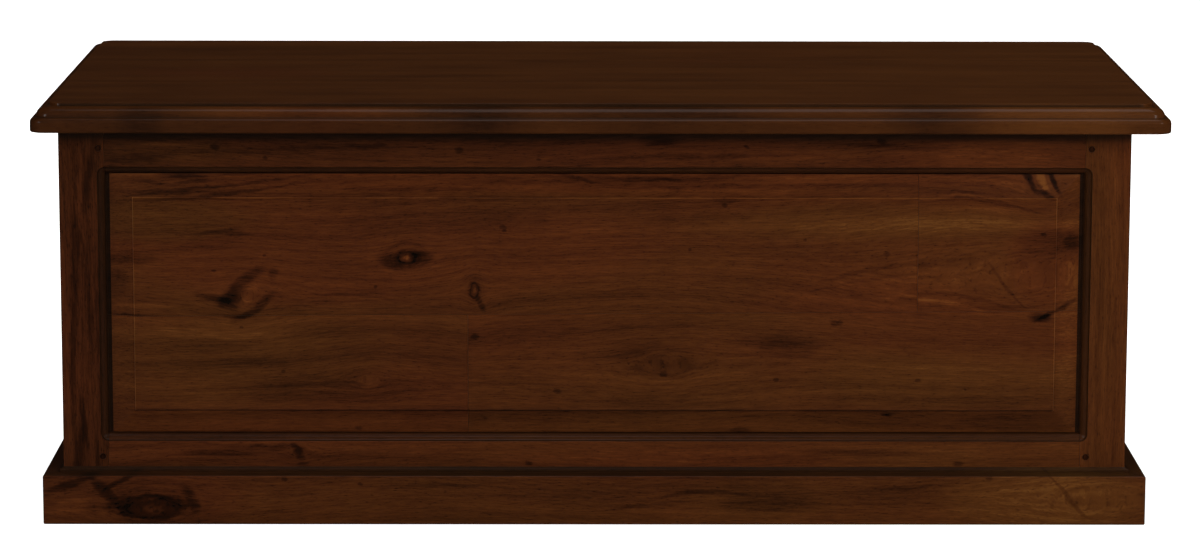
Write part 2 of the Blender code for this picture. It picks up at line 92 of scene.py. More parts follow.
class Wire:
    """One output socket of a node tree. Sums on it add the Math nodes that do them."""

    def __init__(self, tree, socket):
        self.tree = tree
        self.socket = socket

    def add(self, kind, settings=None, sockets=None, output=0):
        """A new node of this kind: its settings first, then its sockets' values or wires."""
        node = self.tree.nodes.new(kind)
        for name, value in (settings or {}).items():
            if name == "stops":
                set_stops(node.color_ramp, value)
            else:
                setattr(node, name, value)
        for name, value in (sockets or {}).items():
            if isinstance(value, Wire):
                self.tree.links.new(value.socket, node.inputs[name])
            else:
                node.inputs[name].default_value = value
        return Wire(self.tree, node.outputs[output])

    def math(self, operation, first, second=0.0):
        return self.add("ShaderNodeMath", {"operation": operation}, {0: first, 1: second})

    def __add__(self, other):
        return self.math("ADD", self, other)

    __radd__ = __add__

    def __sub__(self, other):
        return self.math("SUBTRACT", self, other)

    def __rsub__(self, other):
        return self.math("SUBTRACT", other, self)

    def __mul__(self, other):
        return self.math("MULTIPLY", self, other)

    __rmul__ = __mul__

    def __truediv__(self, other):
        return self.math("DIVIDE", self, other)

    def __rtruediv__(self, other):
        return self.math("DIVIDE", other, self)

    def __abs__(self):
        return self.math("ABSOLUTE", self)

    def sine(self):
        return self.math("SINE", self)

    def root(self):
        return self.math("SQRT", self)

    def least(self, other):
        return self.math("MINIMUM", self, other)

    def most(self, other):
        return self.math("MAXIMUM", self, other)

    def ease(self, none_at, all_at):
        """Runs smoothly from 0 where the wire is none_at to 1 where it is all_at."""
        return self.add(
            "ShaderNodeMapRange",
            {"interpolation_type": "SMOOTHSTEP"},
            {"Value": self, "From Min": none_at, "From Max": all_at},
        )

    def near(self, place, reach):
        """1 where the wire is at a place, and 0 further than reach from it."""
        return abs(self - place).ease(reach, 0.0)

    def noise(self, along, across, through, detail=2.0, roughness=0.5):
        """Cloudy values about 0, from -1 to 1, at a point given by three wires or numbers."""
        where = self.add("ShaderNodeCombineXYZ", None, {0: along, 1: across, 2: through})
        cloud = self.add(
            "ShaderNodeTexNoise",
            {"noise_dimensions": "3D"},
            {"Vector": where, "Scale": 1.0, "Detail": detail, "Roughness": roughness},
        )
        return cloud * 2.0 - 1.0

    def mix(self, first, second):
        """A blend of two colours, with this wire as the share of the second."""
        return self.add(
            "ShaderNodeMix",
            {"data_type": "RGBA"},
            {0: self, 6: first, 7: second},
            output=2,
        )

    def feed(self, shader, name):
        """Joins the wire to the shader's socket of that name."""
        self.tree.links.new(self.socket, shader.inputs[name])


def set_stops(ramp, stops):
    """Fills a colour ramp with (position, colour) stops, darkest first."""
    while len(ramp.elements) < len(stops):
        ramp.elements.new(1.0)
    for element, (position, colour) in zip(ramp.elements, stops):
        element.position = position
        element.color = (*colour, 1.0)


def place_wires(tree):
    """Wires for x, y and z, in metres, in the frame that the whole chest shares."""
    start = Wire(tree, None)
    point = start.add("ShaderNodeTexCoord", output=OBJECT_POINT)
    split = start.add("ShaderNodeSeparateXYZ", None, {0: point}).socket.node
    return [Wire(tree, split.outputs[index]) for index in range(3)]


# %% [markdown]
# ## The figure of a board
# The chest is a knotty wood under dark red-brown stain: straight fibres, slow bands of
# light and dark, and here and there a knot that the grain flows round. A picture of wood would
# repeat and smear. Here the figure is worked out from the point in the board instead: along
# the grain, across it and through it, so it is solid and runs round every edge. Each knot
# pushes the grain lines apart, as water parts round a stone. In the figure's noises, the
# factors say how fast each changes along the grain, across it and through it: wood is drawn
# out along its grain, so the first is the smallest.


# %% One board's grain
class Board:
    """Wires for one board: where a point lies in its grain, and how dark the figure is there."""

    # which of x, y and z runs along the grain, across it and through the board
    AXES = {"X": (0, 2, 1), "Y": (1, 2, 0), "Z": (2, 0, 1), "LID": (0, 1, 2)}
    SEED_STEP = 3.7

    def __init__(self, name, grain, seed, centre):
        self.material, self.shader = new_finish(name)
        self.xyz = place_wires(self.material.node_tree)
        along, across, self.through = (self.xyz[index] for index in self.AXES[grain])
        self.along = along - centre[self.AXES[grain][0]]
        self.across = across - centre[self.AXES[grain][1]]
        self.seed = seed * self.SEED_STEP
        self.tone = 0.0
        self.gold = 0.0
        self.wisps = None
        self.rough_along = self.along + self.flutter(70, 0.0030) + self.flutter(320, 0.0010, 9.0)
        wander = self.along.noise(
            self.along * 1.7 + self.seed, self.across * 5.0, self.through * 4.0, detail=1.0
        )
        self.line = self.across + wander * 0.030
        self.rough_across = self.across + self.flutter(55, 0.0030, 5.0) + self.flutter(300, 0.0008, 2.0)

    def flutter(self, scale, size, shift=0.0):
        """A small restless offset, so that nothing drawn with it has a ruled edge."""
        return self.along.noise(
            self.along * scale + self.seed + shift, self.across * scale, shift, detail=2.0
        ) * size

    def part_round(self, along, across, radius, stretch):
        """Pushes the grain lines apart round a point. Returns the distance from it, in radii."""
        run = (self.rough_along - along) / stretch
        rise = self.rough_across - across
        square = run * run + rise * rise
        reach = (radius * 1.6) ** 2
        push = rise * (reach / (square + reach))
        self.line = self.line - push
        self.rough_across = self.rough_across - push * 0.6
        return square.root() / radius

    def knot(self, along, across, radius, stretch=1.5, dark=0.26, heart=0.2):
        """A knot: a dark bark ring, rings inside it and a paler heart. Knots come before streaks."""
        away = self.part_round(along, across, radius, stretch)
        ragged = away + self.flutter(120, 0.16, 4.0)
        rings = (ragged * 13.0).sine() * 0.05 * away.ease(2.4, 0.6)
        bark = ragged.near(0.80, 0.62) * dark
        heart_wood = ragged.ease(0.50, 0.05) * heart
        halo = ragged.ease(2.6, 0.7) * (dark * 0.35)
        self.tone = self.tone - bark - halo + heart_wood + rings

    def patch(self, along, across, length, width, slope=0.0, bow=0.0):
        """1 inside a long soft-edged patch that follows the grain, and 0 outside it."""
        run = self.rough_along - along
        course = run * slope + run * run * bow + across
        rise = (self.rough_across - course) / width
        run = run / length
        return (run * run + rise * rise).ease(1.25, -0.1)

    def streak(self, along, across, length, width, dark, slope=0.0, bow=0.0):
        """A smear of darker wood, or of lighter wood if dark is below 0. It fades at both ends."""
        if self.wisps is None:
            self.wisps = self.line.noise(
                self.along * 16.0 + self.seed, self.rough_across * 260.0, 0.0, detail=3.0
            ) * 0.75 + 1.05
        smear = self.patch(along, across, length, width, slope, bow)
        self.tone = self.tone - smear * self.wisps * dark

    def gild(self, along, across, length, width, amount):
        """A patch of golden wood, or of redder wood if the amount is below 0."""
        self.gold = self.gold + self.patch(along, across, length, width) * amount

    def speck(self, along, across, radius, dark=0.24):
        """A pin knot: a tiny dark dot."""
        run = (self.rough_along - along) * 0.7
        rise = self.rough_across - across
        square = run * run + rise * rise
        self.tone = self.tone - square.ease((radius * 1.25) ** 2, 0.0) * dark

    def figure(self, tone, bands=0.20, lines=0.20, fibres=0.26, pores=0.30):
        """The finished tone, from 0 dark to 1 light, once every knot has bent the lines."""
        through = self.through
        slow = self.line.noise(
            self.along * 0.9 + self.seed, self.line * 26.0, through * 20.0, detail=3.0
        )
        rings = self.line.noise(
            self.along * 3.2 + self.seed, self.line * 190.0, through * 90.0, detail=3.0
        )
        self.fibre = self.line.noise(
            self.along * 60.0 + self.seed, self.line * 800.0, through * 500.0, detail=2.0
        )
        patches = self.line.noise(
            self.along * 9.0 + self.seed, self.across * 18.0, self.seed, detail=4.0
        )
        dashes = self.line.noise(
            self.along * 190.0 + self.seed, self.line * 1100.0, through * 900.0, detail=1.0
        )
        self.hue = self.line.noise(
            self.along * 2.2, self.line * 11.0 + self.seed, through * 4.0, detail=3.0
        )
        shade = self.tone + tone + slow * bands + rings * lines + self.fibre * fibres
        return shade + patches * 0.12 - dashes.ease(0.05, 0.75) * pores


# %% [markdown]
# ## Stain, glaze and lacquer
# The maker stained the wood, wiped a near-black glaze into the mouldings and sprayed a gloss
# lacquer over it all. The stain could be one colour darkened by the figure, but stained wood
# changes hue as it changes tone, so it is two ramps from near-black up: one through red-brown,
# one through gold, and each board drifts between them. The glaze is a darker colour laid where
# a moulding is deep; the same colour also paints shade into mouldings, grooves, the plinth's
# ledge, the lid's quirk and a strip under the lid. The lacquer is the shader's clear coat over a
# base that hardly shines, with a faint ripple so that reflections are not ruled lines.

# %% Colours of the finish
RED_STAIN = (
    (0.00, (0.0050, 0.0021, 0.0010)),
    (0.25, (0.0200, 0.0050, 0.0015)),
    (0.50, (0.0550, 0.0128, 0.0033)),
    (0.75, (0.0950, 0.0230, 0.0050)),
    (1.00, (0.1600, 0.0480, 0.0090)),
)
GOLD_STAIN = (
    (0.00, (0.0060, 0.0031, 0.0012)),
    (0.25, (0.0225, 0.0068, 0.0020)),
    (0.50, (0.0530, 0.0155, 0.0032)),
    (0.75, (0.0900, 0.0280, 0.0055)),
    (1.00, (0.1500, 0.0560, 0.0110)),
)
# the glaze's colour, which also paints shade into recesses and under the lid
GLAZE_AND_SHADE_COLOUR = (0.0084, 0.0063, 0.0036, 1.0)
EVEN_HUE = 0.38
HUE_REACH = 0.7
RIPPLES_PER_METRE = 38.0
BASE_SHINE = 0.03
LACQUER_ROUGHNESS = 0.14
LACQUER_IOR = 1.45


def polish(board, tone, glaze_and_shade=0.0, gold=0.0, lacquer=0.5, roughness=0.36):
    """Colours a board by its tone, lays the glaze and painted shade over it, and lacquers it."""
    shader = board.shader
    wire = board.line
    red = wire.add("ShaderNodeValToRGB", {"stops": RED_STAIN}, {0: tone})
    golden = wire.add("ShaderNodeValToRGB", {"stops": GOLD_STAIN}, {0: tone})
    hue = board.hue * HUE_REACH + board.gold * HUE_REACH + (gold + EVEN_HUE)
    colour = hue.ease(0.0, 1.0).mix(red, golden)
    # this layer is glaze together with painted shade, darkening recesses as shade would
    if isinstance(glaze_and_shade, Wire):
        colour = glaze_and_shade.mix(colour, GLAZE_AND_SHADE_COLOUR)
    ripple = wire.noise(*(place * RIPPLES_PER_METRE for place in board.xyz), detail=2.0)
    height = board.fibre * 0.25 + ripple
    bump = wire.add(
        "ShaderNodeBump", None, {"Height": height, "Strength": 0.10, "Distance": 0.6 * MM}
    )
    colour.feed(shader, "Base Color")
    (board.fibre * 0.10 + roughness).feed(shader, "Roughness")
    bump.feed(shader, "Normal")
    if isinstance(lacquer, Wire):
        lacquer.feed(shader, "Coat Weight")
    else:
        shader.inputs["Coat Weight"].default_value = lacquer
    shader.inputs["Specular IOR Level"].default_value = BASE_SHINE
    shader.inputs["Coat Roughness"].default_value = LACQUER_ROUGHNESS
    shader.inputs["Coat IOR"].default_value = LACQUER_IOR
    return board.material


# %% [markdown]
# ## Where the mouldings are
# The glaze, and the painted shade that goes with it, has to know where a moulding is. It could
# be a separate strip with its own material, but the moulding is cut in the rails and posts
# themselves. The carcass is a box, so how far a point lies inside its nearest outer face tells
# how deep in the moulding it is.

# %% Sizes read from the imported boards
CARCASS_LOW = BOXES["front_left_post"][0]
CARCASS_HIGH = BOXES["back_right_post"][1]
LID_LOW, LID_HIGH = BOXES["lid_board_front"][0], BOXES["lid_board_back"][1]
LID_CENTRE = (LID_LOW + LID_HIGH) / 2
CARCASS_CENTRE = (CARCASS_LOW + CARCASS_HIGH) / 2
QUIRK_DEPTH = 1.8 * MM
COVE_TOP, COVE_FOOT = 5 * MM, 9 * MM
MOULDING_FOOT, INSIDE_FACE = 16 * MM, 22 * MM
GROOVE_TOP, GROOVE_FOOT = 10 * MM, 13 * MM
PANEL_LOW = BOXES["front_panel_lower_left"][0]
PANEL_HIGH = BOXES["front_panel_upper_right"][1]
PANEL_CENTRE = (PANEL_LOW + PANEL_HIGH) / 2
print("carcass", CARCASS_LOW, CARCASS_HIGH, "panel centre", PANEL_CENTRE)


def depth_inside(board):
    """How far a point lies inside the nearest outer face of the carcass."""
    x, y = board.xyz[0], board.xyz[1]
    from_sides = (x - CARCASS_LOW.x).least(CARCASS_HIGH.x - x)
    return from_sides.least((y - CARCASS_LOW.y).least(CARCASS_HIGH.y - y))


def moulding_glaze_and_shade(board):
    """Glaze and painted shade in the moulding round a panel, and none on the inside of the chest."""
    depth = depth_inside(board)
    # painted shade and glaze: a dark line at the quirk, and darker deeper in the moulding
    lines = depth.near(QUIRK_DEPTH, QUIRK_DEPTH) * 0.40 + depth.ease(COVE_TOP, COVE_FOOT) * 0.10
    covered = depth.ease(0.2 * MM, 1.6 * MM) * depth.ease(INSIDE_FACE, MOULDING_FOOT)
    return (lines + 0.51) * covered


def groove_glaze_and_shade(board):
    """Glaze and painted shade on a panel where it runs down into the groove of its frame."""
    return depth_inside(board).ease(GROOVE_TOP, GROOVE_FOOT) * 0.75


# %% [markdown]
# ## Edges
# No board leaves the bench with a knife edge: its arrises are rubbed down, and they catch the
# light. A bevel modifier would also round the edges where two boards meet, and open a gap
# there. So each edge is tested first, and only those with no board against them are rounded.

# %% Edges eased on every board
EASE = 0.5 * MM
SAME_POINT = 0.005 * MM
FLAT_ENOUGH = math.radians(0.6)
SHARP_EDGE = math.radians(38)


def inside_box(point, box):
    return all(box[0][axis] < point[axis] < box[1][axis] for axis in range(3))


def is_open_arris(edge, node):
    """True for a sharp outer edge that no neighbouring board lies against."""
    if len(edge.link_faces) != 2 or not edge.is_convex:
        return False
    if edge.calc_face_angle() < SHARP_EDGE:
        return False
    middle = (edge.verts[0].co + edge.verts[1].co) / 2
    first, second = (face.normal for face in edge.link_faces)
    for one, other in ((first, second), (second, first)):
        probe = middle + one * MM - other * 0.3 * MM
        if any(inside_box(probe, box) for name, box in BOXES.items() if name != node):
            return False
    return True


def eased_copy(node, finish, ease=EASE, smooth_below=36):
    """The node's own shape with its open edges rounded over, to show in its place."""
    shape = bmesh.new()
    shape.from_mesh(frame["nodes"][node].data)
    bmesh.ops.remove_doubles(shape, verts=shape.verts, dist=SAME_POINT)
    bmesh.ops.dissolve_limit(
        shape, angle_limit=FLAT_ENOUGH, verts=shape.verts, edges=shape.edges
    )
    shape.normal_update()
    arrises = [edge for edge in shape.edges if is_open_arris(edge, node)]
    if arrises and ease > 0:
        bmesh.ops.bevel(
            shape, geom=arrises, offset=ease, offset_type="OFFSET", segments=3,
            profile=0.5, affect="EDGES", clamp_overlap=True,
        )
    mesh = bpy.data.meshes.new(f"{node}_finished")
    shape.to_mesh(mesh)
    shape.free()
    mesh.shade_smooth()
    mesh.set_sharp_from_angle(angle=math.radians(smooth_below))
    mesh.materials.append(finish)
    piece = add_piece(f"{node}_finished", mesh)
    flat = piece.modifiers.new("flat faces stay flat", "WEIGHTED_NORMAL")
    flat.keep_sharp = True
    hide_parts(node)
    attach(piece, BODY_OF[node])


# %% [markdown]
# ## The front panel
# Four boards make the front panel, two above the seam and two below. Its middle is raised,
# with a bevel all round, and its knots are what one remembers of the chest. Their places could
# be left to chance, but then no two renders would show the same chest. So each is one row of a
# list, in millimetres from the panel's middle, along the grain and then across it:
# - knot: radius, how stretched it is, how dark its ring is, how pale its heart is
# - round: the radius and stretch of a place that the grain flows round, with no knot drawn
# - streak: length, width, how dark (or light, below 0), slope, bow
# - gild: length, width, how golden (or red, below 0)
# - speck: radius

# %% Front panel finishes
BEVEL_WIDTH, BEVEL_HEIGHT = 36.9 * MM, 33.1 * MM


def panel_edges(board):
    """Light where the raised field's top and side edges are worn and carry a painted highlight, and a
    painted shadow along its foot.
    """
    x, z = board.xyz[0], board.xyz[2]
    half_x = (PANEL_HIGH.x - PANEL_LOW.x) / 2 - BEVEL_WIDTH
    half_z = (PANEL_HIGH.z - PANEL_LOW.z) / 2 - BEVEL_HEIGHT
    side = abs(x - PANEL_CENTRE.x)
    rise = z - PANEL_CENTRE.z
    in_x = side.ease(half_x + 1 * MM, half_x)
    in_z = abs(rise).ease(half_z + 1 * MM, half_z)
    worn_and_lit = x.noise(x * 16.0, 0.0, z * 16.0).ease(-0.7, 0.2)
    # the edge line is wear with a painted highlight; the foot line is a painted shadow
    line = side.near(half_x, 0.9 * MM) * in_z + rise.near(half_z, 0.9 * MM) * in_x
    shadow_foot = rise.near(-half_z, 1.3 * MM) * in_x
    return line * worn_and_lit * 0.40 - shadow_foot * 0.30


PANEL_MARKS = (
    # the eye and its two dark corners
    ("knot", -199, 50, 8, 1.3, 0.30, 0.30),
    ("streak", -216, 45, 16, 8, 0.26, -0.2),
    ("streak", -183, 48, 14, 7, 0.24),
    ("streak", -199, 60, 28, 2.4, 0.12, 0.0, -12.0),
    # the drop
    ("knot", -128, 16, 9, 0.62, 0.28, 0.08),
    ("streak", -121, 4, 6, 8, 0.24, -1.2),
    # the swirl
    ("round", -367, 9, 13, 1.4),
    ("streak", -375, 19, 29, 8, 0.26, 0.62),
    ("streak", -386, 6, 17, 9, 0.26, 0.2),
    ("streak", -363, -1, 26, 5, 0.26, 0.55),
    ("streak", -379, -7, 18, 4.4, 0.20, 0.1),
    ("streak", -403, 7, 26, 4.4, 0.24, -0.17),
    ("streak", -342, 29, 6, 9, 0.16),
    ("streak", -368, 9, 15, 5, -0.14, 0.6),
    # dark flames on the left
    ("streak", -401, 74, 32, 2.8, 0.20, 0.09),
    ("streak", -379, 71, 15, 4, 0.16),
    ("streak", -496, 48, 32, 9, 0.16),
    ("streak", -440, 56, 64, 3, 0.12),
    ("streak", -509, 24, 18, 13, 0.16),
    ("streak", -484, -1, 46, 3, -0.18),
    ("streak", -492, -11, 34, 2.4, 0.22),
    ("streak", -264, 12, 50, 2, 0.18, 0.03),
    ("streak", -300, 2, 70, 2, 0.08, 0.06),
    # lines in the upper bevel
    ("streak", -406, 121, 120, 2.6, 0.20, 0.08, 0.5),
    ("streak", -400, 113, 120, 2.2, 0.16, 0.10, 0.5),
    ("streak", -436, 133, 30, 4.5, 0.26, -0.05),
    ("streak", -418, 128, 36, 2.4, 0.20, 0.1),
    ("streak", -470, 127, 30, 2.6, 0.18, -0.15),
    ("streak", -350, 136, 60, 2.2, 0.20, 0.06),
    ("streak", -460, 115, 60, 2.2, 0.14, 0.04),
    ("streak", -480, 136, 40, 3.2, -0.22, -0.05),
    ("streak", -385, 132, 60, 2.2, -0.16, 0.08),
    # a painted shadow line just under the field's top edge
    ("streak", -200, 118, 110, 2.6, 0.16),
    ("streak", -120, 124, 140, 3, 0.10, 0.02),
    ("streak", -24, 131, 40, 2.4, 0.20, -0.22),
    ("streak", 0, 127, 180, 5, 0.12),
    ("streak", -60, 139, 170, 3.5, -0.14),
    ("streak", -330, 139, 70, 3, -0.16),
    # a painted shadow band just under the field's top edge
    ("streak", 176, 120, 230, 4.2, 0.20, -0.005),
    ("streak", 170, 131, 130, 2.4, 0.12, 0.03),
    ("streak", 229, 139, 12, 4.5, 0.50),
    ("speck", 47, 140, 4.4),
    ("streak", 90, 137, 150, 4, -0.16),
    ("streak", 80, 128, 170, 3, 0.14, -0.02),
    ("streak", 320, 137, 110, 3, -0.12, -0.03),
    # the next two: painted shadow bands along the field's foot, on the right
    ("streak", 340, -121, 160, 8, 0.09),
    ("streak", 452, -122, 80, 14, 0.13),
    ("streak", 410, 128, 90, 12, -0.10),
    ("streak", 138, 106, 15, 4, 0.14),
    # the right: arcs that open to the left, a knot and a wedge
    ("round", 490, 32, 26, 3.6),
    ("streak", 300, 80, 240, 11, -0.13),
    ("streak", 430, 92, 60, 12, -0.10),
    ("streak", 310, 38, 90, 2.6, 0.14, 0.12, -1.0),
    ("streak", 290, 27, 90, 2, 0.10, 0.14, -0.8),
    ("streak", 376, 13, 80, 2.6, -0.17, -0.10, -1.6),
    ("streak", 390, 20, 90, 2.4, 0.12, -0.08, -1.4),
    ("streak", 438, 28, 26, 2.6, 0.20, -0.75),
    ("streak", 479, 55, 34, 28, 0.12),
    ("streak", 508, 60, 12, 11, 0.24),
    ("streak", 506, 60, 24, 20, 0.10),
    ("streak", 474, -1, 14, 7, 0.34),
    ("streak", 491, 8, 24, 4.4, 0.36, 0.6),
    ("streak", 493, -3, 10, 3, -0.22),
    # the light tongue in the corner
    ("round", 471, 129, 17, 1.2),
    ("streak", 457, 131, 16, 5.5, 0.50, -1.0),
    ("streak", 483, 131, 13, 5, 0.48, -1.4),
    ("streak", 470, 132, 14, 6.5, -0.38, -1.1),
    ("streak", 479, 116, 10, 4.5, 0.44, -0.4),
    ("streak", 415, 106, 74, 2.4, 0.18, -0.08, -1.6),
    ("streak", 400, 113, 80, 2.2, 0.16, -0.06, -1.2),
    ("streak", 424, 110, 64, 2.2, -0.14, -0.07, -1.4),
    ("streak", 400, 122, 60, 2.6, 0.20, -0.06, -0.8),
    ("streak", 400, 130, 60, 2.6, 0.14, -0.05, -0.8),
    # the lower boards
    ("streak", -279, -28, 66, 11, 0.10),
    ("streak", -168, -32, 56, 12, 0.10),
    ("streak", -280, -88, 130, 18, 0.16),
    ("streak", -363, -58, 50, 6, 0.08),
    ("round", -239, -80, 9, 1.7),
    ("streak", -240, -81, 16, 6, -0.12),
    ("streak", -400, -28, 90, 8, -0.10),
    ("streak", 210, -39, 36, 14, 0.13),
    ("streak", 190, -36, 64, 9, 0.10),
    ("streak", 60, -52, 60, 14, 0.12),
    ("round", 75, -60, 12, 2.4),
    ("streak", 80, -99, 100, 8, 0.10),
    ("streak", 314, -112, 10, 3.4, 0.26),
    ("streak", 319, -113, 5, 2, -0.16),
    ("streak", 156, -131, 12, 4, 0.20),
    ("streak", 420, -98, 120, 7, 0.12),
    ("streak", 430, -60, 110, 26, -0.08),
    ("streak", 508, -20, 22, 120, -0.10),
    # pin knots
    ("speck", -98, 78, 3.0), ("speck", -96, 74, 2.0), ("speck", -233, 20, 1.8),
    ("speck", -128, -31, 3.0), ("speck", -376, -20, 1.7), ("speck", -404, 32, 1.7),
    ("speck", -350, 48, 1.6), ("speck", -40, -88, 3.0), ("speck", -332, -70, 1.8),
    ("speck", 100, 56, 1.8), ("speck", 310, 49, 2.8), ("speck", 223, 64, 1.5),
    ("speck", 138, 101, 2.4), ("speck", 255, -15, 3.4), ("speck", 261, -14, 2.6),
    ("speck", 73, -66, 2.8), ("speck", 193, -75, 2.2), ("speck", 345, -74, 2.6),
    ("speck", 396, -84, 1.5), ("speck", -252, -131, 2.6), ("speck", 476, 70, 2.0),
    # hue
    ("gild", -470, 88, 120, 28, 0.9),
    ("gild", -400, -56, 200, 60, 0.7),
    ("gild", -310, 36, 160, 40, -0.7),
    ("gild", -60, 60, 160, 40, -0.5),
    ("gild", -40, 130, 440, 16, -0.9),
    ("gild", 330, 132, 160, 14, -0.7),
    ("gild", 60, 133, 320, 12, -0.8),
    ("gild", 300, 82, 240, 22, 0.6),
    ("gild", 300, 8, 160, 22, -0.4),
    ("gild", 482, 50, 46, 40, -0.8),
    ("gild", 380, -70, 180, 44, 0.6),
    ("gild", 40, -80, 180, 60, 0.3),
)
SPREAD = 1.12
KNOT_REACH = 6
PANEL_EASE = 0.3 * MM
MITRE_ANGLE = 10


def reach_of(kind, sizes):
    """How far along and across the grain a mark reaches from its middle, in millimetres."""
    if kind == "speck":
        return sizes[0] * 2, sizes[0] * 2
    if kind in ("knot", "round"):
        radius, stretch = sizes[:2]
        return radius * stretch * KNOT_REACH, radius * KNOT_REACH
    length, width = sizes[:2]
    slope = abs(sizes[3]) if len(sizes) > 3 else 0.0
    return length * SPREAD, width * SPREAD + length * slope


def draw(board, marks, low=-math.inf, high=math.inf, bottom=-math.inf, top=math.inf):
    """Draws the marks that reach into a board. Sizes are in millimetres from its middle."""
    for kind, along, across, *sizes in marks:
        run, rise = reach_of(kind, sizes)
        if along + run < low or along - run > high:
            continue
        if across + rise < bottom or across - rise > top:
            continue
        place = (along * MM, across * MM)
        if kind == "knot":
            radius, stretch, dark, heart = sizes
            board.knot(*place, radius * MM, stretch, dark, heart)
        elif kind == "round":
            radius, stretch = sizes
            board.part_round(*place, radius * MM, stretch)
        elif kind == "speck":
            board.speck(*place, sizes[0] * MM)
        elif kind == "gild":
            length, width, amount = sizes
            board.gild(*place, length * MM, width * MM, amount)
        else:
            length, width, *rest = sizes
            board.streak(*place, length * MM, width * MM, *rest)


def in_drawing_order(marks):
    """Knots first, because they bend the lines that the other marks follow."""
    return sorted(marks, key=lambda mark: mark[0] not in ("knot", "round"))


def front_panel_finish(row, side, seed, tone):
    board = Board(f"front panel {row} {side}", "X", seed, PANEL_CENTRE)
    low, high = (
        (corner - PANEL_CENTRE) / MM for corner in BOXES[f"front_panel_{row}_{side}"]
    )
    draw(board, in_drawing_order(PANEL_MARKS), low.x, high.x, low.z, high.z)
    x, _, z = board.xyz
    # painted light: lower bevel darker, upper bevel lighter as light from above falls, and lighter to
    # the right
    lower_bevel_shade = z.near(PANEL_LOW.z + 29 * MM, 11 * MM) * 0.10
    upper_bevel_light = z.ease(PANEL_HIGH.z - 34 * MM, PANEL_HIGH.z - 22 * MM) * 0.05
    shade = board.figure(tone) + panel_edges(board) - lower_bevel_shade + upper_bevel_light + x * 0.05
    return polish(board, shade, glaze_and_shade=groove_glaze_and_shade(board))


for row, side, seed, tone in (
    ("upper", "left", 1, 0.60),
    ("upper", "right", 1, 0.60),
    ("lower", "left", 3, 0.60),
    ("lower", "right", 4, 0.60),
):
    finish = front_panel_finish(row, side, seed, tone)
    eased_copy(f"front_panel_{row}_{side}", finish, ease=PANEL_EASE, smooth_below=MITRE_ANGLE)
print("front panel finished with", len(PANEL_MARKS), "marks")

# %% [markdown]
# ## The frame round the panel
# The posts' grain runs upright and the rails' grain along them. Each is cut from its own
# board, so each has its own seed, tone and knots. Glaze and painted shade follow the moulding
# round the panel, and on the front a painted shadow of the lid darkens a strip just under it.

# %% Frame finishes
FRAME_MARKS = {
    "front_top_rail": (
        ("speck", -401, 5, 3.6), ("speck", -348, -6, 2.2), ("speck", -144, 2, 3.6),
        ("speck", 160, 6, 2.4), ("speck", 303, 12, 3.6), ("speck", -60, -8, 1.8),
        ("streak", 70, 12, 30, 6, 0.26), ("streak", 110, -4, 120, 4, 0.14, 0.02),
        ("streak", 320, 6, 70, 4, 0.12, -0.05), ("streak", -300, 4, 160, 4, 0.12, 0.03),
        ("streak", -480, -6, 50, 6, 0.14, 0.1), ("streak", -460, 8, 60, 3, -0.10, 0.06),
        ("streak", -220, 10, 90, 3, -0.10, -0.03), ("streak", 430, 0, 120, 18, -0.12),
        ("gild", -470, 0, 110, 20, 0.5), ("gild", 60, 0, 200, 20, -0.5),
    ),
    "front_bottom_rail": (
        ("round", -317, 12, 5, 1.6), ("streak", -317, 13, 8, 6, 0.28, -0.6),
        ("streak", -350, 17, 46, 4, 0.26), ("streak", -395, 12, 50, 5, 0.18),
        ("streak", -312, 0, 8, 5, 0.16), ("speck", -70, 1, 3.2),
        ("speck", 389, 0, 3.8), ("streak", 300, 12, 90, 5, 0.20, -0.03),
        ("streak", 200, 6, 100, 5, 0.12, 0.02), ("streak", -440, -10, 90, 5, -0.14, 0.02),
        ("streak", -200, 6, 120, 4, 0.10, -0.02), ("streak", 60, -6, 140, 4, -0.08),
        ("gild", -440, -10, 90, 12, 0.8), ("gild", 100, 0, 220, 20, -0.4),
    ),
    "front_left_post": (
        ("streak", -150, -8, 60, 6, 0.24, 0.06), ("streak", -100, -2, 40, 4, 0.18, -0.12),
        ("streak", -60, -12, 90, 4, 0.16), ("streak", 60, -8, 90, 5, 0.18, 0.03),
        ("streak", -140, 12, 60, 4, 0.12, -0.08), ("streak", 160, 8, 40, 5, 0.16, 0.12),
        ("streak", 20, 6, 80, 4, 0.10, -0.04), ("streak", 120, -4, 60, 3, -0.10, 0.08),
        ("gild", 0, 0, 240, 30, -0.4),
    ),
    "front_right_post": (
        ("streak", 120, 8, 120, 5, -0.08), ("streak", -80, 10, 140, 3, 0.12),
        ("streak", 20, -6, 100, 3, 0.10, 0.03), ("gild", 0, 0, 240, 30, 0.1),
    ),
}
RAIL_TONES = {"front_top_rail": 0.51, "front_bottom_rail": 0.58}
POST_TONES = {"front_left_post": 0.55, "front_right_post": 0.58}
PLAIN_TONE = 0.56
STRIP_FOOT, STRIP_TOP = 15 * MM, 6 * MM


def under_lid_shadow(board):
    """1 on the strip of the front just under the lid, where a painted shadow of the lid falls, and 0
    elsewhere.
    """
    high_up = board.xyz[2].ease(CARCASS_HIGH.z - STRIP_FOOT, CARCASS_HIGH.z - STRIP_TOP)
    on_front = board.xyz[1].ease(CARCASS_LOW.y + 3 * MM, CARCASS_LOW.y + 1 * MM)
    return high_up * on_front


